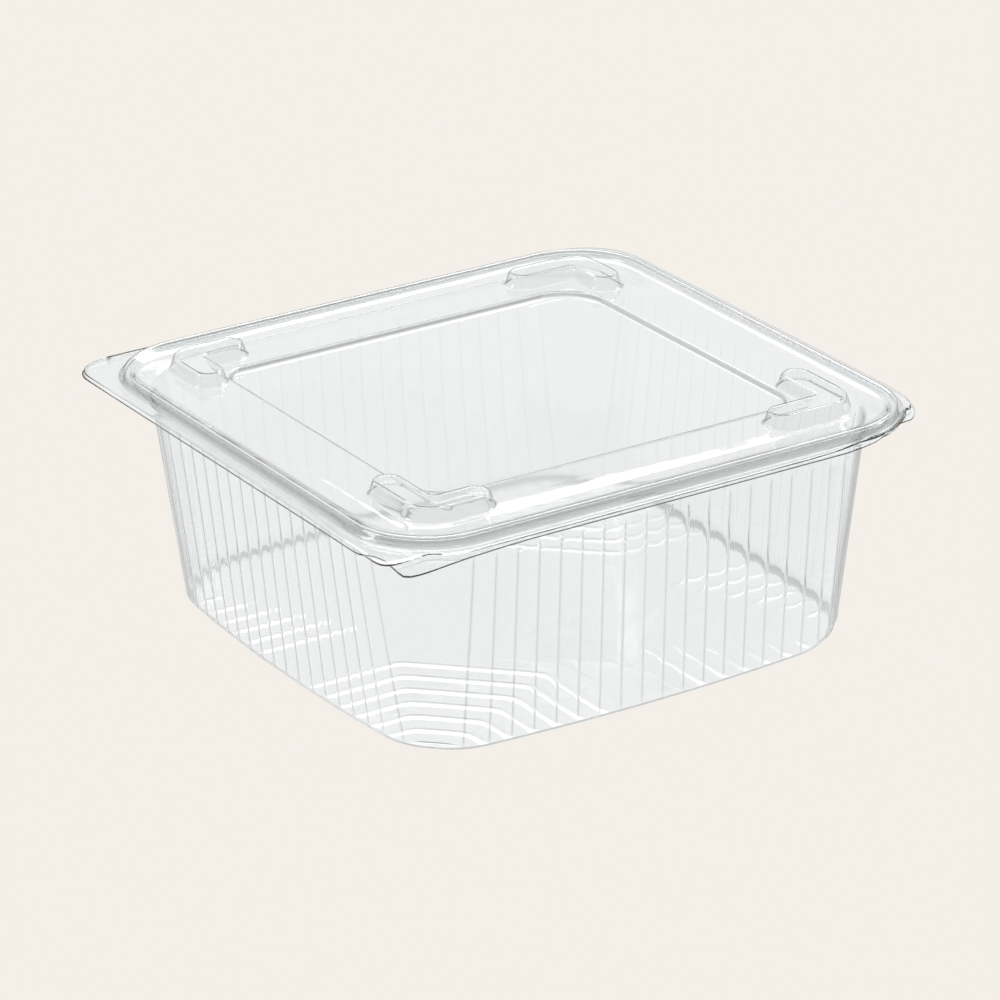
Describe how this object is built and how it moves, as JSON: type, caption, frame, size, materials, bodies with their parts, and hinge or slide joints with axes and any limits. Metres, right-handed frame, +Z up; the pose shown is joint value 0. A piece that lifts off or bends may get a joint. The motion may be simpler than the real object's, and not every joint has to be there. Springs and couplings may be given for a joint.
{
  "type": "takeaway meal container",
  "caption": "Clear takeaway meal box, shut: a near-square tray with ribbed walls and a rippled floor, and a low lid with stacking lugs, hinged along the back, with opening tabs at the front.",
  "frame": {"origin": "centre of the shut box's outline, on the surface it stands on", "axes": "+Z up; +Y towards the fold at the back; +X to the right, with the opening tabs at the -X end of the front"},
  "size_m": [0.1888, 0.1878, 0.0742],
  "materials": {
    "clear_sheet": "clear thermoformed sheet, glossy"
  },
  "bodies": {
    "tray": {"tray": "clear_sheet"},
    "lid": {"lid": "clear_sheet"}
  },
  "joints": [
    {"name": "lid_fold", "type": "hinge", "parent": "tray", "child": "lid", "pos_m": [0, 0.0942, 0.06793], "axis": [-1, 0, 0], "range_deg": [0, 180]}
  ]
}
